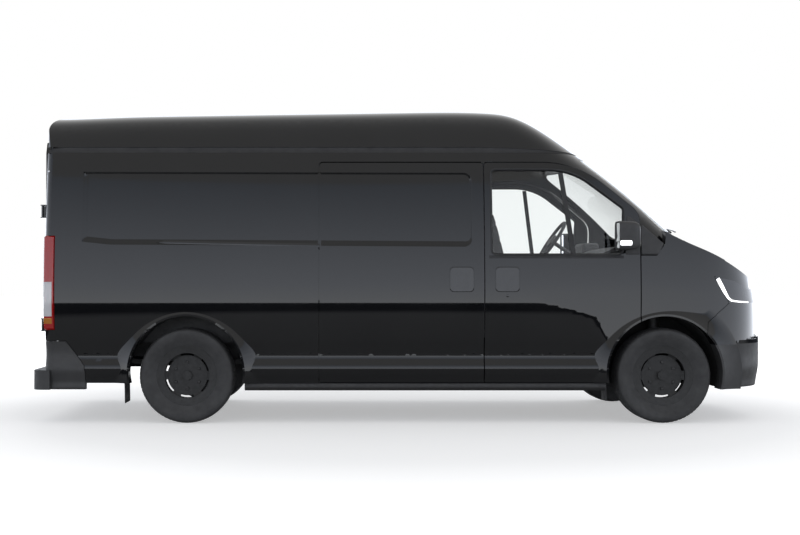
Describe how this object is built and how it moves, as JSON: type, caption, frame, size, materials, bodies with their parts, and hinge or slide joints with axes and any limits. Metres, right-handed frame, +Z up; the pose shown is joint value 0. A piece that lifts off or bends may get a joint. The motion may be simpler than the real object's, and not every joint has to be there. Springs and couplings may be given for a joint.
{
  "type": "high-roof panel van",
  "caption": "High-roof panel van with a hollow cab and load space, sliding side door, double rear doors, lifting hood and steered front wheels.",
  "frame": {"origin": "on the ground under the middle of the van's outline", "axes": "+X the way the van drives, +Y its left side, +Z up"},
  "size_m": [5.625, 2.45, 2.3968],
  "materials": {
    "body_paint": "gloss",
    "trim_plastic": "satin",
    "chassis_paint": "matt",
    "engine_metal": "cast",
    "clear_glass": "clear",
    "lamp_clear": "gloss",
    "lamp_red": "gloss",
    "dash_plastic": "grained",
    "seat_fabric": "woven",
    "wheel_steel": "satin",
    "axle_steel": "satin",
    "tyre_rubber": "matt",
    "floor_board": "satin"
  },
  "bodies": {
    "body": {"floor_pan": "floor_board", "chassis_frame": "chassis_paint", "engine_block": "engine_metal", "front_structure": "body_paint", "side_panel_right": "body_paint", "side_panel_left": "body_paint", "sliding_door": "body_paint", "roof_cap": "body_paint", "cab_frame": "body_paint", "windscreen": "clear_glass", "cowl": "trim_plastic", "bulkhead": "body_paint", "fender_right": "body_paint", "fender_left": "body_paint", "front_fascia": "body_paint", "grille": "trim_plastic", "bumper_lower": "trim_plastic", "headlamp_right": "lamp_clear", "headlamp_left": "lamp_clear", "rear_bumper": "trim_plastic", "tail_lamp_right": "lamp_red", "tail_lamp_left": "lamp_red", "dashboard": "dash_plastic", "seat_plinth": "chassis_paint", "seat_driver": "seat_fabric", "seat_passenger": "seat_fabric", "front_suspension": "axle_steel", "rear_axle": "axle_steel"},
    "hood": {"hood": "body_paint"},
    "door_right": {"door_front_right": "body_paint", "door_glass_right": "clear_glass", "mirror_right": "trim_plastic"},
    "door_left": {"door_front_left": "body_paint", "door_glass_left": "clear_glass", "mirror_left": "trim_plastic"},
    "tail_door_right": {"rear_door_right": "body_paint"},
    "tail_door_left": {"rear_door_left": "body_paint"},
    "steered_right": {"knuckle_right": "axle_steel"},
    "steered_left": {"knuckle_left": "axle_steel"},
    "wheel_front_right": {"rim_front_right": "wheel_steel", "tyre_front_right": "tyre_rubber"},
    "wheel_front_left": {"rim_front_left": "wheel_steel", "tyre_front_left": "tyre_rubber"},
    "wheel_rear_right": {"rim_rear_right": "wheel_steel", "tyre_rear_right": "tyre_rubber"},
    "wheel_rear_left": {"rim_rear_left": "wheel_steel", "tyre_rear_left": "tyre_rubber"},
    "hand_wheel": {"steering_wheel": "dash_plastic"}
  },
  "joints": [
    {"name": "steer_left", "type": "hinge", "parent": "body", "child": "steered_left", "pos_m": [1.9075, 0.785, 0.356], "axis": [0, 0, 1], "range_deg": [-33, 33]},
    {"name": "steer_right", "type": "hinge", "parent": "body", "child": "steered_right", "pos_m": [1.9075, -0.785, 0.356], "axis": [0, 0, 1], "range_deg": [-33, 33]},
    {"name": "hand_wheel_turn", "type": "hinge", "parent": "body", "child": "hand_wheel", "pos_m": [1.3075, 0.43, 1.409], "axis": [-0.829, 0, 0.5592], "range_deg": [-500, 500]},
    {"name": "door_right_swing", "type": "hinge", "parent": "body", "child": "door_right", "pos_m": [1.7935, -0.972, 1.03], "axis": [0, 0, 1], "range_deg": [0, 65]},
    {"name": "door_left_swing", "type": "hinge", "parent": "body", "child": "door_left", "pos_m": [1.7935, 0.972, 1.03], "axis": [0, 0, -1], "range_deg": [0, 65]},
    {"name": "tail_door_right_swing", "type": "hinge", "parent": "body", "child": "tail_door_right", "pos_m": [-2.7595, -0.872, 1.163], "axis": [0, 0, 1], "range_deg": [0, 180]},
    {"name": "tail_door_left_swing", "type": "hinge", "parent": "body", "child": "tail_door_left", "pos_m": [-2.7595, 0.872, 1.163], "axis": [0, 0, -1], "range_deg": [0, 180]},
    {"name": "hood_lift", "type": "hinge", "parent": "body", "child": "hood", "pos_m": [2.0367, 0, 1.3724], "axis": [0, -1, 0], "range_deg": [0, 55]},
    {"name": "front_right_spin", "type": "hinge", "parent": "steered_right", "child": "wheel_front_right", "pos_m": [1.9075, -0.86, 0.356], "axis": [0, 1, 0], "continuous": true},
    {"name": "front_left_spin", "type": "hinge", "parent": "steered_left", "child": "wheel_front_left", "pos_m": [1.9075, 0.86, 0.356], "axis": [0, 1, 0], "continuous": true},
    {"name": "rear_right_spin", "type": "hinge", "parent": "body", "child": "wheel_rear_right", "pos_m": [-1.6625, -0.86, 0.356], "axis": [0, 1, 0], "continuous": true},
    {"name": "rear_left_spin", "type": "hinge", "parent": "body", "child": "wheel_rear_left", "pos_m": [-1.6625, 0.86, 0.356], "axis": [0, 1, 0], "continuous": true}
  ],
  "couplings": [
    {"joint": "steer_right", "follows": "steer_left", "ratio": 1},
    {"joint": "hand_wheel_turn", "follows": "steer_left", "ratio": 15}
  ]
}
